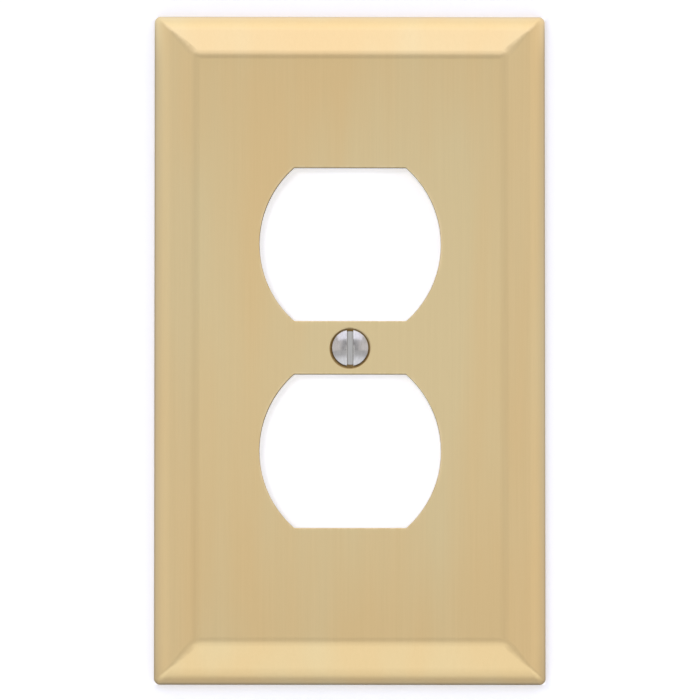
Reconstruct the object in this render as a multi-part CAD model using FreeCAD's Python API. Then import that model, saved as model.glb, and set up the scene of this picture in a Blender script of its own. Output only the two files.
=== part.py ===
import FreeCAD, Part
import math
import os

# A single-gang duplex receptacle wall plate, pressed from steel sheet, with its 6-32 oval-head screw.
# Millimetres and degrees. X is the plate's width, Z its height and Y its depth. The front faces -Y,
# the open back lies on the wall at Y = 0, and the origin is on the screw's axis in that wall plane.

# The pressed plate
plate_width = 73.5
plate_height = 126.0
plate_depth = 6.35
sheet_thickness = 0.95
bevel_inset = 7.7  # from the rim to the crease between the bevel and the flat face
bevel_slope = 21.0  # between the bevel and the flat face
crease_radius = 4.5
shoulder_radius = 4.6  # rolls the bevel over into the rim
rim_corner_radius = 1.1
mitre_radius = 3.2  # at the top of the corner mitres, which grow sharper on their way to the rim

# The two receptacle openings
opening_pitch = 38.9
opening_width = 34.0
opening_height = 28.8
opening_flat = 21.0  # length of the straight top and bottom edges
opening_corner_radius = 0.5
punched_edge_radius = 0.2  # where the punch drew the front face in

# The screw hole, in a dimple pressed down to seat the head
countersink_angle = 82.0
countersink_diameter = 7.75
countersink_edge_radius = 0.15
hole_diameter = 4.0
dimple_thickness = 0.8
hole_land = 0.3  # straight stretch of the hole past the end of the cone
dimple_root_radius = 0.8  # between the dimple and the back of the face

# The screw, number 6 with 32 threads to the inch, half an inch under the head's edge
thread_diameter = 3.505
thread_pitch = 25.4 / 32.0
thread_angle = 60.0
screw_length = 12.7
head_diameter = 6.85
head_edge_height = 0.12
head_crown = 1.0
head_clearance = 0.05  # between the head's cone and the dimple's, measured along a radius
neck_length = 1.1  # plain stretch between the cone and the thread
neck_relief = 0.03  # how far the neck is turned down below the root of the thread
tip_chamfer = 0.4
slot_width = 1.2
slot_depth = 1.45
slot_edge_radius = 0.08

# Where one solid cuts another, it reaches this far past the surface.
overshoot = 5.0
groove_overshoot = 0.05  # small, so that one turn of the thread's groove stays clear of the next

# How closely an edge keeps to a plane or a straight line, and to a mitre, when edges are picked out
plane_tolerance = 0.001
mitre_tolerance = 0.01

face_y = -plate_depth
cone_tangent = math.tan(math.radians(countersink_angle / 2))
hole_radius = hole_diameter / 2
countersink_radius = countersink_diameter / 2
head_radius = head_diameter / 2
thread_crest_radius = thread_diameter / 2
flank_tangent = math.tan(math.radians(thread_angle / 2))
# The basic unified profile is cut 5/8 of the sharp V's height deep.
thread_root_radius = thread_crest_radius - 5 / 8 * thread_pitch / (2 * flank_tangent)
neck_radius = thread_root_radius - neck_relief


def vector(x, y, z):
    return FreeCAD.Vector(x, y, z)


def rounded_wire(corners):
    """A closed wire through (point, radius) corners, each rounded by an arc where its radius isn't 0."""
    edges = []
    joins = []
    for index, (point, radius) in enumerate(corners):
        before = (corners[index - 1][0] - point).normalize()
        after = (corners[(index + 1) % len(corners)][0] - point).normalize()
        if radius == 0:
            joins.append((point, None, point))
            continue
        half_angle = before.getAngle(after) / 2
        reach = radius / math.tan(half_angle)
        to_arc = (before + after).normalize() * (radius / math.sin(half_angle) - radius)
        joins.append((point + before * reach, point + to_arc, point + after * reach))
    for index, (start, middle, end) in enumerate(joins):
        if middle is not None:
            edges.append(Part.Arc(start, middle, end).toShape())
        edges.append(Part.makeLine(end, joins[(index + 1) % len(joins)][0]))
    return Part.Wire(edges)


def bar_section(half_span, inset, back_y, across):
    """The plate's section from edge to edge, drawn inset from its outside and closed off at back_y.
    across is the unit vector from the middle to the edge."""
    slope = math.radians(bevel_slope)
    crease = half_span - bevel_inset - inset * math.tan(slope / 2)
    edge = half_span - inset
    front = face_y + inset
    shoulder = front + (edge - crease) * math.tan(slope)
    outline = []
    for side in (1, -1):
        stations = [
            (crease, front, crease_radius + inset),
            (edge, shoulder, shoulder_radius - inset),
            (edge, back_y, 0),
        ]
        for span, depth, radius in stations[::side]:
            outline.append((across * (span * side) + vector(0, depth, 0), radius))
    return rounded_wire(outline)


def bevelled_block(inset, back_y):
    """The plate's outside form, or its hollow for an inset of the sheet's thickness."""
    along_z = bar_section(plate_width / 2, inset, back_y, vector(1, 0, 0))
    along_z.translate(vector(0, 0, -plate_height))
    tall = Part.Face(along_z).extrude(vector(0, 0, 2 * plate_height))
    along_x = bar_section(plate_height / 2, inset, back_y, vector(0, 0, 1))
    along_x.translate(vector(-plate_height, 0, 0))
    wide = Part.Face(along_x).extrude(vector(2 * plate_height, 0, 0))
    return tall.common(wide)


def opening_cutter(centre_z):
    """The barrel-shaped hole for one receptacle face: flat above and below, bowed at both sides."""
    start_y = face_y - overshoot
    half_flat = opening_flat / 2
    half_height = opening_height / 2
    edges = []
    for side in (1, -1):
        flat_start = vector(-side * half_flat, start_y, centre_z + side * half_height)
        flat_end = vector(side * half_flat, start_y, centre_z + side * half_height)
        bow = vector(side * opening_width / 2, start_y, centre_z)
        bow_end = vector(side * half_flat, start_y, centre_z - side * half_height)
        edges.append(Part.makeLine(flat_start, flat_end))
        edges.append(Part.Arc(flat_end, bow, bow_end).toShape())
    prism = Part.Face(Part.Wire(edges)).extrude(vector(0, 2 * overshoot, 0))
    upright = [edge for edge in prism.Edges if edge.BoundBox.YLength > overshoot]
    return prism.makeFillet(opening_corner_radius, upright)


def turned(outline):
    """A solid of revolution about the Y axis, through (radius, y) corners."""
    points = [vector(radius, y, 0) for radius, y in outline]
    section = Part.Face(Part.makePolygon(points + points[:1]))
    return section.revolve(vector(0, 0, 0), vector(0, 1, 0), 360)


def dimple_end():
    """Where the dimple's cone has narrowed to the hole."""
    return face_y + (countersink_radius - hole_radius) / cone_tangent


def dimple_back():
    """The dimple's outside, as it stands out of the back of the face."""
    start = face_y + sheet_thickness / 2
    end = dimple_end() + hole_land
    mouth = countersink_radius + dimple_thickness / math.cos(math.radians(countersink_angle / 2))
    start_radius = mouth - (start - face_y) * cone_tangent
    end_radius = mouth - (end - face_y) * cone_tangent
    return turned([(0, start), (start_radius, start), (end_radius, end), (0, end)])


def dimple_front():
    """The space inside the dimple and its hole."""
    front = face_y - overshoot
    front_radius = countersink_radius + overshoot * cone_tangent
    back = dimple_end() + overshoot
    return turned(
        [(0, front), (front_radius, front), (hole_radius, dimple_end()), (hole_radius, back), (0, back)]
    )


def front_edges(shape):
    """The edges of the holes through the flat face, on its front."""
    side_limit = plate_width / 2 - bevel_inset - crease_radius
    end_limit = plate_height / 2 - bevel_inset - crease_radius
    found = []
    for edge in shape.Edges:
        box = edge.BoundBox
        on_face = max(abs(box.YMin - face_y), abs(box.YMax - face_y)) < plane_tolerance
        reach_x = max(abs(box.XMin), abs(box.XMax))
        reach_z = max(abs(box.ZMin), abs(box.ZMax))
        if on_face and reach_x < side_limit and reach_z < end_limit:
            found.append(edge)
    return found


def mitre_lines(shape, from_rim):
    """The straight stretches of the four mitres, where two bevels meet, that start at their rim end if
    from_rim is true and at their other end if it isn't."""
    found = []
    for edge in shape.Edges:
        start = edge.Vertexes[0].Point
        end = edge.Vertexes[-1].Point
        gaps = [abs((plate_width / 2 - abs(p.x)) - (plate_height / 2 - abs(p.z))) for p in (start, end)]
        straight = edge.Length - (end - start).Length < plane_tolerance
        sloping = edge.BoundBox.XLength > mitre_tolerance
        if straight and sloping and max(gaps) < mitre_tolerance and (abs(start.x) > abs(end.x)) == from_rim:
            found.append(edge)
    return found


def dimple_root_edges(shape):
    """The circle where the dimple leaves the back of the face."""
    back_of_face = face_y + sheet_thickness
    widest = countersink_radius + 2 * dimple_thickness
    found = []
    for edge in shape.Edges:
        box = edge.BoundBox
        on_back = max(abs(box.YMin - back_of_face), abs(box.YMax - back_of_face)) < plane_tolerance
        if on_back and box.XMax < widest and box.ZMax < widest:
            found.append(edge)
    return found


def wall_plate():
    """The pressing: a bevelled shell, open at the back, with two openings and the dimpled screw hole."""
    outside = bevelled_block(0, 0)
    outside = outside.makeFillet(rim_corner_radius, mitre_radius, mitre_lines(outside, True))
    outside = outside.makeFillet(mitre_radius, rim_corner_radius, mitre_lines(outside, False))
    plate = outside.cut(bevelled_block(sheet_thickness, overshoot))
    plate = plate.fuse(dimple_back())
    plate = plate.makeFillet(dimple_root_radius, dimple_root_edges(plate))
    for side in (1, -1):
        plate = plate.cut(opening_cutter(side * opening_pitch / 2))
    plate = plate.makeFillet(punched_edge_radius, front_edges(plate))
    plate = plate.cut(dimple_front())
    return plate.makeFillet(countersink_edge_radius, front_edges(plate)).Solids[0]


def head_y():
    """The level of the head's widest edge, with the head seated in the dimple."""
    recess = (countersink_radius - head_clearance - head_radius) / cone_tangent
    return face_y + recess


def neck_start():
    """Where the head's cone has narrowed to the neck."""
    return head_y() + (head_radius - neck_radius) / cone_tangent


def screw_tip():
    return head_y() + screw_length


def crown_top():
    return head_y() - head_edge_height - head_crown


def screw_blank():
    """The screw before it is threaded and slotted: crowned head, cone, neck and shank."""
    neck_end = neck_start() + neck_length
    crown_edge = head_y() - head_edge_height
    crown_radius = (head_radius**2 + head_crown**2) / (2 * head_crown)
    half_angle = math.asin(head_radius / crown_radius) / 2
    crown_middle = vector(
        crown_radius * math.sin(half_angle),
        crown_top() + crown_radius * (1 - math.cos(half_angle)),
        0,
    )
    outline = [
        vector(head_radius, crown_edge, 0),
        vector(head_radius, head_y(), 0),
        vector(neck_radius, neck_start(), 0),
        vector(neck_radius, neck_end, 0),
        vector(thread_crest_radius, neck_end + thread_crest_radius - neck_radius, 0),
        vector(thread_crest_radius, screw_tip() - tip_chamfer, 0),
        vector(thread_crest_radius - tip_chamfer, screw_tip(), 0),
        vector(0, screw_tip(), 0),
        vector(0, crown_top(), 0),
    ]
    edges = [Part.makeLine(start, end) for start, end in zip(outline, outline[1:])]
    edges.append(Part.Arc(outline[-1], crown_middle, outline[0]).toShape())
    section = Part.Face(Part.Wire(edges))
    return section.revolve(vector(0, 0, 0), vector(0, 1, 0), 360)


def groove_turn():
    """One turn of the thread's V groove about the Y axis, starting at Y = 0."""
    mouth_radius = thread_crest_radius + groove_overshoot
    half_root = thread_pitch / 8
    half_mouth = half_root + (mouth_radius - thread_root_radius) * flank_tangent
    helix = Part.makeHelix(thread_pitch, thread_pitch, thread_root_radius)
    corners = [
        vector(thread_root_radius, 0, -half_root),
        vector(thread_root_radius, 0, half_root),
        vector(mouth_radius, 0, half_mouth),
        vector(mouth_radius, 0, -half_mouth),
    ]
    section = Part.makePolygon(corners + corners[:1])
    turn = Part.Wire(helix.Edges).makePipeShell([section], True, True)
    turn.rotate(vector(0, 0, 0), vector(1, 0, 0), -90)
    return turn


def slot_cutter():
    """The driver slot, upright across the head."""
    front = crown_top() - overshoot
    return Part.makeBox(
        slot_width,
        overshoot + slot_depth,
        2 * head_diameter,
        vector(-slot_width / 2, front, -head_diameter),
    )


def slot_edges(shape):
    """The two bowed edges where the slot breaks through the crown."""
    found = []
    for edge in shape.Edges:
        box = edge.BoundBox
        beside_slot = abs(abs(box.XMin) - slot_width / 2) < plane_tolerance
        flat = box.XLength < plane_tolerance
        bowed = box.ZLength > head_radius and box.YLength > plane_tolerance
        if beside_slot and flat and bowed and box.YMin < head_y() - head_edge_height:
            found.append(edge)
    return found


def mounting_screw():
    """The oval-head screw, seated in the dimple, with its thread cut from inside the neck past the tip."""
    screw = screw_blank()
    first_turn = neck_start() + neck_length / 2
    past_tip = screw_tip() + thread_pitch
    for index in range(math.ceil((past_tip - first_turn) / thread_pitch)):
        turn = groove_turn()
        turn.translate(vector(0, first_turn + index * thread_pitch, 0))
        screw = screw.cut(turn)
    screw = screw.cut(slot_cutter())
    return screw.makeFillet(slot_edge_radius, slot_edges(screw)).Solids[0]


os.makedirs("parts", exist_ok=True)
wall_plate().exportStep("parts/wall_plate.step")
mounting_screw().exportStep("parts/mounting_screw.step")
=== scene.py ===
import math

import bpy
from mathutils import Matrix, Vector


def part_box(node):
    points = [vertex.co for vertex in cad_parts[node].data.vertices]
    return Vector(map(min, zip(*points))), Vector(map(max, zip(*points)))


# Metres and degrees, in the frame of the CAD model: X across the plate, Z up it, the front towards -Y.
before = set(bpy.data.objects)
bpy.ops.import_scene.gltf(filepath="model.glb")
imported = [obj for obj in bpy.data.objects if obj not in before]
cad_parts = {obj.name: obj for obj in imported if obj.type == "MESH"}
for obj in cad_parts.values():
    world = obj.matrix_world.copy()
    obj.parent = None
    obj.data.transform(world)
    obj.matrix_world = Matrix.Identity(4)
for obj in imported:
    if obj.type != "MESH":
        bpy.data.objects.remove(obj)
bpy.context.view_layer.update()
plate_low, plate_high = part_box("wall_plate")
screw_low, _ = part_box("mounting_screw")
plate_centre = (plate_low + plate_high) / 2
up_axis = (0.0, 0.0, 1.0)
white = (1.0, 1.0, 1.0, 1.0)

# The receptacle openings: a flat above and below, and bows struck about centres past the middle
opening_centre = 0.01945
opening_half_height = 0.0144
opening_half_width = 0.0170
opening_half_flat = 0.0105
bow_width = opening_half_width - opening_half_flat
bow_radius = (opening_half_height**2 + bow_width**2) / (2 * bow_width)
bow_offset = bow_radius - opening_half_width

# A noise is given by its waves to the metre along X, Y and Z, its detail and its roughness. A range is the
# stretch of a value over which one look turns into the other.
tone_range = (0.3, 0.7)

# The brass: the outside of the plate against its hollow, and the grain that the brushes left
rim_steepness = 6.0  # how suddenly the outside's normals turn outwards towards the rim
outside_range = (0.02, 0.12)  # of how far a normal leans outwards
fine_grain_noise = ((5200.0, 5200.0, 70.0), 3.0, 0.65)
coarse_grain_noise = ((1500.0, 1500.0, 22.0), 2.0, 0.5)
fine_grain_share = 0.6
band_noise = ((75.0, 75.0, 11.0), 2.0, 0.55)
band_range = (0.35, 0.65)
band_drift = (0.012, 0.052, 0.14, -0.08)  # greener round the screw and warmer far from it
warm_brass = ((0.840, 0.624, 0.322, 1.0), (0.874, 0.656, 0.348, 1.0))
olive_brass = ((0.818, 0.662, 0.378, 1.0), (0.858, 0.698, 0.408, 1.0))
grain_shine_range = (0.25, 0.75)
brushed_roughness = (0.37, 0.44)
grain_strength = 0.10
grain_depth = 0.00004
grain_spread = 0.50  # how much wider a reflection is across the grain than along it
seam_tangent = (0.02, 0.0, 0.0)  # gives a face that looks straight up a direction for its grain
lacquer_weight = 0.35
lacquer_roughness = 0.28
lacquer_ior = 1.45

# The brass: the dull hollow
mill_noise = ((420.0, 420.0, 60.0), 4.0, 0.6)
dull_metal = ((0.500, 0.415, 0.265, 1.0), (0.640, 0.530, 0.335, 1.0))
speck_noise = ((2600.0, 2600.0, 2600.0), 3.0, 0.6)
speck_range = (0.55, 0.75)
speck_strength = 0.35
speck_colour = (0.38, 0.33, 0.24, 1.0)
speck_relief = 0.5
drift_reach = 0.007  # of the brass that got in past the edges of the openings
drift_strength = 0.9
drift_range = (0.25, 0.6)
drift_colour = (0.80, 0.62, 0.34, 1.0)
dull_roughness = (0.46, 0.58)

# The brass: the punched openings
rubbed_width = (0.00005, 0.0006)
rubbed_strength = 0.8
rubbed_range = (0.4, 0.6)
rubbed_brass = (0.90, 0.73, 0.47, 1.0)
rubbed_brass_roughness = 0.30
# Painted shade: a dark line along the opening edges that face down and to the right, away from the light
edge_shade_facing = (0.45, 0.0, -0.89)
edge_shade_facing_range = (0.10, 0.45)
edge_shade_width = (0.00012, 0.0003)
edge_shade_strength = 0.9
edge_shade_colour = (0.24, 0.18, 0.10, 1.0)
tear_noise = ((7000.0, 500.0, 7000.0), 3.0, 0.6)
tear_depth = plate_low.y + 0.0004  # how deep the punch cut before the sheet tore
tear_unevenness = 0.0002
wall_edge = (0.00001, 0.00004)
# The sheared walls' two colours, burnished and torn, are also painted dark as shade
sheared_metal_and_shade = ((0.34, 0.27, 0.16, 1.0), (0.17, 0.14, 0.10, 1.0))  # burnished, then torn
sheared_roughness = (0.32, 0.55)

# The brass: the dimple, painted brown as shade round the screw head
dimple_radius = 0.0038
dimple_shade_shift = (0.00008, 0.0, 0.00018)
dimple_shade_edge = 0.00006
dimple_shade_colours = ((0.33, 0.20, 0.06, 1.0), (0.48, 0.32, 0.12, 1.0))

# The screw: its crown
ring_noise = ((9000.0, 9000.0, 9000.0), 2.0, 0.5)
ring_share = 0.6
scuff_noise = ((2600.0, 2600.0, 700.0), 4.0, 0.65)
scuff_shine_range = (0.3, 0.75)
pit_noise = ((5200.0, 5200.0, 5200.0), 2.0, 0.5)
pit_range = (0.62, 0.75)
pit_relief = -0.5
plated_metal = ((0.525, 0.51, 0.52, 1.0), (0.635, 0.62, 0.63, 1.0))
plated_roughness = (0.15, 0.22)
turning_strength = 0.07
turning_depth = 0.00004

# The screw: its slot
slot_half_width = 0.0006
slot_floor = screw_low.y + 0.00145
slot_floor_edge = (0.00002, 0.00012)
slot_side_edge = 0.00001
cutter_noise = ((9000.0, 9000.0, 250.0), 3.0, 0.6)
milled_metal = ((0.52, 0.52, 0.53, 1.0), (0.66, 0.66, 0.67, 1.0))
milled_roughness = 0.38
slot_dirt_from = 0.00035  # across the slot's floor, from its middle
slot_dirt_strength = 0.6
slot_dirt = (0.16, 0.14, 0.12, 1.0)
slot_wall = (0.0001, 0.0004)  # above the slot's floor, where the bright edges begin
slot_edge_width = (0.00004, 0.00022)
slot_edge_strength = 0.9
slot_edge_range = (0.35, 0.6)
slot_edge_metal = (0.80, 0.80, 0.80, 1.0)

# The screw: its thread
shank_start = screw_low.y + 0.0035
shank_blend = 0.0002
thread_flank = (0.00135, 0.00165)
root_strength = 0.85
root_colour = (0.25, 0.23, 0.20, 1.0)
root_roughness = 0.34

# The card behind the plate, with the soft part of the plate's shadow painted on it
card_size = 0.45
card_whiteness = 1.24
card_tint = (0.965, 0.985, 1.09, 1.0)  # cool, against the gold light that the plate throws on the card
card_tint_in_openings = (0.965, 1.01, 1.17, 1.0)
# Painted light: the card glows, more where it shows through the openings
card_glow = 0.05
card_glow_in_openings = 0.31
rim_shadow_shift = (-0.0005, 0.0, 0.0006)  # this shadow falls to the right and down
rim_shadow_width = (-0.0004, 0.0007)
rim_shadow_depth = 0.88
opening_shadow_shift = (-0.0006, 0.0, 0.0)
opening_shadow_width = (-0.00065, -0.00005)
opening_shadow_depth = 0.87

# Painted reflection: what the metal sees of the card, a glow with painted shade below the plate and where the
# rim meets it
card_top = (0.055, 0.065)
card_reflection = (0.70, 1.06)  # beside the plate, and over its top
card_foot = (-0.055, -0.068)
card_foot_dimming = -0.15
contact_width = 0.002
contact_dimming = 0.20
top_contact = (0.058, 0.062)
top_contact_dimming = 0.8

# The floor, with a painted pool of light, a glow, round the plate, and a dimmer patch of painted shade in it
# below the plate
floor_drop = 0.26  # from the plate's lower edge to the floor
floor_size = 6.0
floor_paint = (0.68, 0.69, 0.68, 1.0)
floor_glow = 0.46
floor_glow_colour = (0.95, 1.01, 1.08, 1.0)
pool_edge = (0.46, 1.00)
shade_patch_edge = (0.36, 0.46)
shade_patch_dimming = 0.60

# The studio round them, by the height and the direction it is seen in
room_level = 0.88
above_height = (0.15, 0.45)
above_dimming = -0.13
overhead_height = (0.80, 0.94)
overhead_glow = 0.48
ahead_direction = (-0.97, -0.75)
ahead_dimming = -0.47
side_direction = (0.3, 0.7)
side_colour = (1.0, 0.962, 0.92, 1.0)

# The camera: a long lens, almost straight in front and looking slightly up at the plate
camera_distance = 2.2
camera_azimuth = -0.8
camera_elevation = -4.5
camera_sensor = 36.0  # millimetres, as the lens is
framed_height = 0.1315  # how much height the picture takes in at the plate
camera_aim = (0.0, 0.0, -0.0002)  # from the middle of the plate
camera_clip = (0.01, 100.0)


def new_material(name):
    material = bpy.data.materials.new(name)
    material.use_nodes = True
    material.node_tree.nodes.clear()
    return material


class Nodes:
    """Short calls for building a node tree."""

    def __init__(self, tree):
        self.tree = tree

    def add(self, kind, **settings):
        node = self.tree.nodes.new("ShaderNode" + kind)
        for key, value in settings.items():
            setattr(node, key, value)
        return node

    def put(self, value, socket):
        if isinstance(value, bpy.types.NodeSocket):
            self.tree.links.new(value, socket)
        else:
            socket.default_value = value

    def maths(self, operation, first, second=0.0):
        node = self.add("Math", operation=operation)
        self.put(first, node.inputs[0])
        self.put(second, node.inputs[1])
        return node.outputs[0]

    def vector_maths(self, operation, first, second=(0.0, 0.0, 0.0)):
        node = self.add("VectorMath", operation=operation)
        self.put(first, node.inputs[0])
        self.put(second, node.inputs[1])
        return node.outputs["Value" if operation in ("DOT_PRODUCT", "LENGTH") else "Vector"]

    def combine(self, x=0.0, y=0.0, z=0.0):
        node = self.add("CombineXYZ")
        for value, socket in zip((x, y, z), node.inputs):
            self.put(value, socket)
        return node.outputs[0]

    def separate(self, vector):
        node = self.add("SeparateXYZ")
        self.put(vector, node.inputs[0])
        return node.outputs

    def scaled(self, vector, factors):
        return self.vector_maths("MULTIPLY", vector, factors)

    def noise(self, place, waves, detail, roughness):
        """Smooth noise from 0 to 1, with so many waves to the metre along each axis."""
        node = self.add("TexNoise")
        self.put(self.scaled(place, waves), node.inputs["Vector"])
        node.inputs["Scale"].default_value = 1.0
        node.inputs["Detail"].default_value = detail
        node.inputs["Roughness"].default_value = roughness
        return node.outputs["Fac"]

    def shared(self, share, first, second):
        """A share of one number, and the rest of another."""
        rest = self.maths("MULTIPLY", second, 1.0 - share)
        return self.maths("ADD", self.maths("MULTIPLY", first, share), rest)

    def span(self, value, low, high, to_low=0.0, to_high=1.0, smooth=False):
        """Maps low..high to to_low..to_high, and holds the ends."""
        node = self.add("MapRange", clamp=True)
        node.interpolation_type = "SMOOTHSTEP" if smooth else "LINEAR"
        for number, socket in zip((value, low, high, to_low, to_high), node.inputs):
            self.put(number, socket)
        return node.outputs["Result"]

    def mix(self, factor, first, second):
        """One colour where factor is 0 and another where it is 1."""
        return self.mixed("RGBA", factor, first, second)

    def blend(self, factor, first, second):
        """One number where factor is 0 and another where it is 1."""
        return self.mixed("FLOAT", factor, first, second)

    def mixed(self, data_type, factor, first, second):
        node = self.add("Mix", data_type=data_type)
        self.put(factor, node.inputs["Factor"])
        self.put(first, node.inputs["A"])
        self.put(second, node.inputs["B"])
        return node.outputs["Result"]

    def choose(self, factor, first, second):
        """One shader where factor is 0 and another where it is 1."""
        node = self.add("MixShader")
        for value, socket in zip((factor, first, second), node.inputs):
            self.put(value, socket)
        return node.outputs[0]

    def glowing(self, surface, strength, colour=white):
        """A shader with a glow added to it."""
        both = self.add("AddShader")
        self.put(surface, both.inputs[0])
        self.put(self.glow(strength, colour), both.inputs[1])
        return both.outputs[0]

    def glow(self, strength, colour=white):
        node = self.add("Emission")
        self.put(colour, node.inputs["Color"])
        self.put(strength, node.inputs["Strength"])
        return node.outputs[0]

    def paint(self, colour):
        node = self.add("BsdfDiffuse")
        self.put(colour, node.inputs["Color"])
        return node.outputs[0]

    def metal(self, colour, roughness, relief, strength, depth):
        bump = self.add("Bump")
        bump.inputs["Strength"].default_value = strength
        bump.inputs["Distance"].default_value = depth
        self.put(relief, bump.inputs["Height"])
        shader = self.add("BsdfPrincipled")
        shader.inputs["Metallic"].default_value = 1.0
        self.put(colour, shader.inputs["Base Color"])
        self.put(roughness, shader.inputs["Roughness"])
        self.put(bump.outputs["Normal"], shader.inputs["Normal"])
        return shader

    def position(self):
        return self.add("TexCoord").outputs["Object"]

    def facing(self):
        return self.add("NewGeometry").outputs["Normal"]

    def output(self, surface):
        self.put(surface, self.add("OutputMaterial").inputs["Surface"])


def outside_mask(n, place, facing):
    """1 on the outside of the plate and 0 in its hollow. The outside's normals lean away from the middle."""
    x, _, z = n.separate(place)
    outward = []
    for part, reach in ((x, plate_high.x), (z, plate_high.z)):
        steep = n.maths("POWER", n.maths("ABSOLUTE", n.maths("DIVIDE", part, reach)), rim_steepness)
        outward.append(n.maths("MULTIPLY", steep, n.maths("SIGN", part)))
    lean = n.vector_maths("DOT_PRODUCT", facing, n.combine(outward[0], -1.0, outward[1]))
    return n.span(lean, *outside_range)


def opening_distance(n, place):
    """How far a point is outside the nearer receptacle opening, seen from the front."""
    x, _, z = n.separate(place)
    from_centre = n.maths("ABSOLUTE", n.maths("SUBTRACT", n.maths("ABSOLUTE", z), opening_centre))
    past_flat = n.maths("SUBTRACT", from_centre, opening_half_height)
    from_bow_centre = n.combine(n.maths("ADD", n.maths("ABSOLUTE", x), bow_offset), from_centre)
    past_bow = n.maths("SUBTRACT", n.vector_maths("LENGTH", from_bow_centre), bow_radius)
    return n.maths("MAXIMUM", past_flat, past_bow)


def rim_distance(n, place):
    """How far a point is outside the plate's outline, seen from the front."""
    x, _, z = n.separate(place)
    past_side = n.maths("SUBTRACT", n.maths("ABSOLUTE", x), plate_high.x)
    past_end = n.maths("SUBTRACT", n.maths("ABSOLUTE", z), plate_high.z)
    return n.maths("MAXIMUM", past_side, past_end)


def axis_distance(n, place):
    """How far a point is from the screw's axis."""
    return n.vector_maths("LENGTH", n.scaled(place, (1.0, 0.0, 1.0)))


def brushed_outside(n, place):
    """Long upright scratches, fine and coarse, under wide soft bands of warmer and greener lacquer."""
    coarse = n.noise(place, *coarse_grain_noise)
    grain = n.shared(fine_grain_share, n.noise(place, *fine_grain_noise), coarse)
    bands = n.maths("ADD", n.noise(place, *band_noise), n.span(axis_distance(n, place), *band_drift))
    tone = n.span(grain, *tone_range)
    colour = n.mix(n.span(bands, *band_range), n.mix(tone, *warm_brass), n.mix(tone, *olive_brass))
    return colour, n.span(grain, *grain_shine_range, *brushed_roughness), grain, coarse


def dull_hollow(n, place, past_opening):
    """Mill finish with specks, and brass that drifted in through the openings."""
    mill = n.noise(place, *mill_noise)
    specks = n.noise(place, *speck_noise)
    colour = n.mix(n.span(mill, *tone_range), *dull_metal)
    colour = n.mix(n.span(specks, *speck_range, 0.0, speck_strength), colour, speck_colour)
    near_opening = n.span(past_opening, 0.0, drift_reach, drift_strength, 0.0)
    drift = n.maths("MULTIPLY", near_opening, n.span(mill, *drift_range))
    colour = n.mix(drift, colour, drift_colour)
    return colour, n.span(mill, *tone_range, *dull_roughness), specks


def brass_material():
    """Satin brass under lacquer: brushed upright on the outside, dull inside the pressing, with sheared
    edges round the openings, in part painted dark as shade, and a dimple under the screw head painted brown
    as shade."""
    material = new_material("satin_brass_brushed")
    n = Nodes(material.node_tree)
    place, facing = n.position(), n.facing()
    outside = outside_mask(n, place, facing)
    past_opening = opening_distance(n, place)
    brushed, brushed_shine, grain, coarse = brushed_outside(n, place)
    dull, dull_shine, specks = dull_hollow(n, place, past_opening)
    colour = n.mix(outside, dull, brushed)
    roughness = n.blend(outside, dull_shine, brushed_shine)
    relief = n.blend(outside, n.maths("MULTIPLY", specks, speck_relief), grain)

    # Wear: the lacquer is rubbed thin and pale where the punch turned the edge of each opening.
    at_edge = n.span(past_opening, *rubbed_width, rubbed_strength, 0.0)
    rubbed = n.maths("MULTIPLY", at_edge, n.span(coarse, *rubbed_range))
    rubbed = n.maths("MULTIPLY", rubbed, outside)
    colour = n.mix(rubbed, colour, rubbed_brass)
    roughness = n.blend(rubbed, roughness, rubbed_brass_roughness)

    # Painted shade: a dark line along the edges of the openings that face down and to the right, away from
    # the light.
    turned_from_light = n.span(n.vector_maths("DOT_PRODUCT", facing, edge_shade_facing), *edge_shade_facing_range)
    dirt_and_shade = n.maths("MULTIPLY", turned_from_light, n.span(past_opening, *edge_shade_width, edge_shade_strength, 0.0))
    colour = n.mix(n.maths("MULTIPLY", dirt_and_shade, outside), colour, edge_shade_colour)

    # The sheared walls of the openings: burnished by the punch in front, torn and darker behind, and both
    # painted dark as the shade these edges lie in
    tears = n.noise(place, *tear_noise)
    uneven_depth = n.maths("ADD", n.separate(place)[1], n.maths("MULTIPLY", tears, tear_unevenness))
    torn = n.span(uneven_depth, tear_depth, tear_depth + tear_unevenness / 2)
    is_wall = n.span(past_opening, *wall_edge, 1.0, 0.0)
    colour = n.mix(is_wall, colour, n.mix(torn, *sheared_metal_and_shade))
    roughness = n.blend(is_wall, roughness, n.span(torn, 0.0, 1.0, *sheared_roughness))
    relief = n.blend(is_wall, relief, tears)

    # Painted shade: the dimple round the screw head painted brown, widest at its lower left
    from_shade_centre = axis_distance(n, n.vector_maths("ADD", place, dimple_shade_shift))
    in_dimple = n.span(from_shade_centre, dimple_radius - dimple_shade_edge, dimple_radius + dimple_shade_edge, 1.0, 0.0)
    colour = n.mix(in_dimple, colour, n.mix(n.span(specks, *tone_range), *dimple_shade_colours))

    # Upright grain spreads a reflection level, across the grain, all the way round the plate.
    shader = n.metal(colour, roughness, relief, grain_strength, grain_depth)
    shader.inputs["Anisotropic"].default_value = grain_spread
    level = n.vector_maths("CROSS_PRODUCT", up_axis, facing)
    n.put(n.vector_maths("ADD", level, seam_tangent), shader.inputs["Tangent"])
    shader.inputs["Coat Weight"].default_value = lacquer_weight
    shader.inputs["Coat Roughness"].default_value = lacquer_roughness
    shader.inputs["Coat IOR"].default_value = lacquer_ior
    n.output(shader.outputs[0])
    return material


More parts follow.
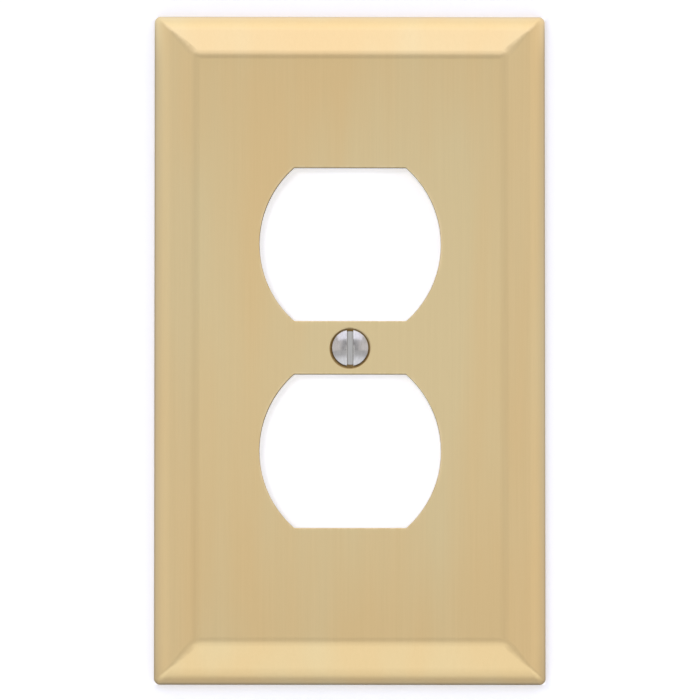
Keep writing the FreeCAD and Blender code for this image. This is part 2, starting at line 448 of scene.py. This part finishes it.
def screw_material():
    """Nickel-plated steel: turned rings on the crown, a milled slot with worn edges, dark thread roots."""
    material = new_material("screw_nickel_turned")
    n = Nodes(material.node_tree)
    place = n.position()
    x, depth, _ = n.separate(place)
    from_axis = axis_distance(n, place)
    rings = n.noise(n.combine(from_axis), *ring_noise)
    scuffs = n.noise(place, *scuff_noise)
    pits = n.span(n.noise(place, *pit_noise), *pit_range)
    colour = n.mix(n.span(scuffs, *tone_range), *plated_metal)
    roughness = n.span(scuffs, *scuff_shine_range, *plated_roughness)
    relief = n.maths("ADD", n.shared(ring_share, rings, scuffs), n.maths("MULTIPLY", pits, pit_relief))

    # The slot's floor: lengthways cutter marks, and dirt in its corners
    across = n.maths("ABSOLUTE", x)
    near, far = slot_floor_edge
    on_floor = n.maths(
        "MULTIPLY",
        n.span(depth, slot_floor + far, slot_floor + near),
        n.span(depth, slot_floor - far, slot_floor - near),
    )
    between_walls = n.span(across, slot_half_width, slot_half_width + slot_side_edge, 1.0, 0.0)
    on_floor = n.maths("MULTIPLY", on_floor, between_walls)
    cutter = n.noise(place, *cutter_noise)
    milled = n.mix(n.span(cutter, *tone_range), *milled_metal)
    dirt_and_shade = n.span(across, slot_dirt_from, slot_half_width, 0.0, slot_dirt_strength)
    milled = n.mix(dirt_and_shade, milled, slot_dirt)
    colour = n.mix(on_floor, colour, milled)
    roughness = n.blend(on_floor, roughness, milled_roughness)
    relief = n.blend(on_floor, relief, cutter)

    # The slot's edges, which a driver has rubbed bright
    from_edge = n.maths("ABSOLUTE", n.maths("SUBTRACT", across, slot_half_width))
    at_edge = n.span(from_edge, *slot_edge_width, slot_edge_strength, 0.0)
    rubbed = n.maths("MULTIPLY", at_edge, n.span(scuffs, *slot_edge_range))
    above_floor = n.span(depth, slot_floor - slot_wall[0], slot_floor - slot_wall[1])
    rubbed = n.maths("MULTIPLY", rubbed, above_floor)
    colour = n.mix(rubbed, colour, slot_edge_metal)

    # The thread: dark and oily in its root, bright on its crest
    on_shank = n.span(depth, shank_start, shank_start + shank_blend)
    in_root = n.maths("MULTIPLY", on_shank, n.span(from_axis, *thread_flank, root_strength, 0.0))
    colour = n.mix(in_root, colour, root_colour)
    roughness = n.blend(in_root, roughness, root_roughness)
    n.output(n.metal(colour, roughness, relief, turning_strength, turning_depth).outputs[0])
    return material


def card_reflection_seen(n, z, past_rim):
    """Painted reflection: what the metal sees of the card, a glow that is bright over the top, with painted
    shade below the plate and in the corner where the rim meets it.
    """
    foot = n.span(z, *card_foot, 0.0, card_foot_dimming)
    level = n.maths("ADD", n.span(z, *card_top, *card_reflection), foot)
    at_rim = n.span(past_rim, 0.0, contact_width, contact_dimming, 1.0)
    at_top = n.span(z, *top_contact, 0.0, top_contact_dimming)
    return n.maths("MULTIPLY", level, n.maths("MAXIMUM", at_rim, at_top))


def card_material():
    """White card to the camera, glowing, with painted shadows, and a dimmer painted reflection of it to the
    metal.
    It is clear from behind, and the metal sees through the part of it that the plate covers."""
    material = new_material("white_card")
    n = Nodes(material.node_tree)
    place = n.position()
    past_rim = rim_distance(n, place)
    outside = n.maths("GREATER_THAN", past_rim, 0.0)

    from_rim = rim_distance(n, n.vector_maths("ADD", place, rim_shadow_shift))
    rim_shadow = n.span(from_rim, *rim_shadow_width, rim_shadow_depth, 1.0)
    from_opening = opening_distance(n, n.vector_maths("ADD", place, opening_shadow_shift))
    opening_shadow = n.span(from_opening, *opening_shadow_width, 1.0, opening_shadow_depth)
    shadow = n.blend(outside, opening_shadow, rim_shadow)
    tint = n.mix(outside, card_tint_in_openings, card_tint)
    paper = n.paint(n.scaled(tint, n.maths("MULTIPLY", shadow, card_whiteness)))
    # Painted light: the card's glow, dimmed where the shadows are painted
    glow = n.blend(outside, card_glow_in_openings, card_glow)
    lit = n.glowing(paper, n.maths("MULTIPLY", shadow, glow))

    clear = n.add("BsdfTransparent").outputs[0]
    reflected = n.glow(card_reflection_seen(n, n.separate(place)[2], past_rim))
    to_metal = n.choose(outside, clear, reflected)
    in_front = n.choose(n.add("LightPath").outputs["Is Camera Ray"], to_metal, lit)
    n.output(n.choose(n.add("NewGeometry").outputs["Backfacing"], in_front, clear))
    return material


def floor_material():
    material = new_material("pale_floor")
    n = Nodes(material.node_tree)
    from_plate = n.vector_maths("LENGTH", n.position())
    # Painted light: the floor glows in a pool round the plate, with painted shade where the glow dims just
    # below it
    pool = n.span(from_plate, *pool_edge, floor_glow, 0.0, smooth=True)
    shade_patch = n.span(from_plate, *shade_patch_edge, shade_patch_dimming, 1.0, smooth=True)
    n.output(n.glowing(n.paint(floor_paint), n.maths("MULTIPLY", pool, shade_patch), floor_glow_colour))
    return material


def staged_sheet(name, corners, material):
    """A flat four-cornered sheet that belongs to the stage."""
    mesh = bpy.data.meshes.new(name)
    mesh.from_pydata(corners, [], [(0, 1, 2, 3)])
    mesh.materials.append(material)
    sheet = bpy.data.objects.new(name, mesh)
    bpy.context.scene.collection.objects.link(sheet)
    return sheet


def add_card():
    """The white surface the plate lies against. It blocks no light, so that the plate's back stays lit."""
    half = card_size / 2
    corners = [(-half, 0, -half), (half, 0, -half), (half, 0, half), (-half, 0, half)]
    card = staged_sheet("card", corners, card_material())
    card.visible_diffuse = False
    card.visible_transmission = False
    card.visible_shadow = False


def add_floor():
    half = floor_size / 2
    level = plate_low.z - floor_drop
    corners = [(-half, -half, level), (half, -half, level), (half, half, level), (-half, half, level)]
    staged_sheet("floor", corners, floor_material())


def add_facing(name, data, azimuth, elevation, distance, target):
    """An object at a distance from a point, turned to look at it. Azimuth 0 is straight in front."""
    thing = bpy.data.objects.new(name, data)
    bpy.context.scene.collection.objects.link(thing)
    a, e = math.radians(azimuth), math.radians(elevation)
    back = Vector((math.sin(a) * math.cos(e), -math.cos(a) * math.cos(e), math.sin(e)))
    thing.location = target + back * distance
    thing.rotation_mode = "QUATERNION"
    thing.rotation_quaternion = back.to_track_quat("Z", "Y")
    return thing


def add_softbox(name, elevation, distance, size, brightness, colour):
    """A rectangular area light in front of the plate and aimed at it, as bright as the plate sees it."""
    light = bpy.data.lights.new(name, "AREA")
    light.shape = "RECTANGLE"
    light.size, light.size_y = size
    light.energy = brightness * math.pi * size[0] * size[1]
    light.color = colour
    add_facing(name, light, 0.0, elevation, distance, plate_centre)


def add_camera():
    camera = bpy.data.cameras.new("camera")
    camera.sensor_width = camera_sensor
    camera.lens = camera_sensor * camera_distance / framed_height
    camera.clip_start, camera.clip_end = camera_clip
    target = plate_centre + Vector(camera_aim)
    eye = add_facing("camera", camera, camera_azimuth, camera_elevation, camera_distance, target)
    bpy.context.scene.camera = eye


def room_light(n):
    """Dimmer in front of the plate and just above it than overhead, and warmer at the sides."""
    across, along, up = n.separate(n.add("TexCoord").outputs["Generated"])
    level = n.maths("ADD", n.span(along, *ahead_direction, ahead_dimming, 0.0, smooth=True), room_level)
    above = n.span(up, *above_height, 0.0, above_dimming, smooth=True)
    overhead = n.span(up, *overhead_height, 0.0, overhead_glow, smooth=True)
    side = n.span(n.maths("ABSOLUTE", across), *side_direction, smooth=True)
    return n.mix(side, white, side_colour), n.maths("ADD", n.maths("ADD", above, overhead), level)


def add_world():
    """A pale studio, which the camera sees as plain white."""
    world = bpy.data.worlds.new("studio")
    world.use_nodes = True
    world.node_tree.nodes.clear()
    bpy.context.scene.world = world
    n = Nodes(world.node_tree)
    room, seen = n.add("Background"), n.add("Background")
    colour, strength = room_light(n)
    n.put(colour, room.inputs["Color"])
    n.put(strength, room.inputs["Strength"])
    seen.inputs["Color"].default_value = white
    chosen = n.choose(n.add("LightPath").outputs["Is Camera Ray"], room.outputs[0], seen.outputs[0])
    n.put(chosen, n.add("OutputWorld").inputs["Surface"])


def dress(node, material):
    """Gives a CAD node its material."""
    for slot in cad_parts[node].material_slots:
        slot.material = material


dress("wall_plate", brass_material())
dress("mounting_screw", screw_material())
add_card()
add_floor()
add_softbox("top", 50.0, distance=1.4, size=(2.3, 0.75), brightness=0.53, colour=(0.95, 0.97, 1.19))
add_softbox("front", 5.0, distance=0.75, size=(0.40, 0.16), brightness=0.90, colour=(1.0, 0.99, 0.94))
add_world()
add_camera()
bpy.context.scene.view_settings.view_transform = "Standard"
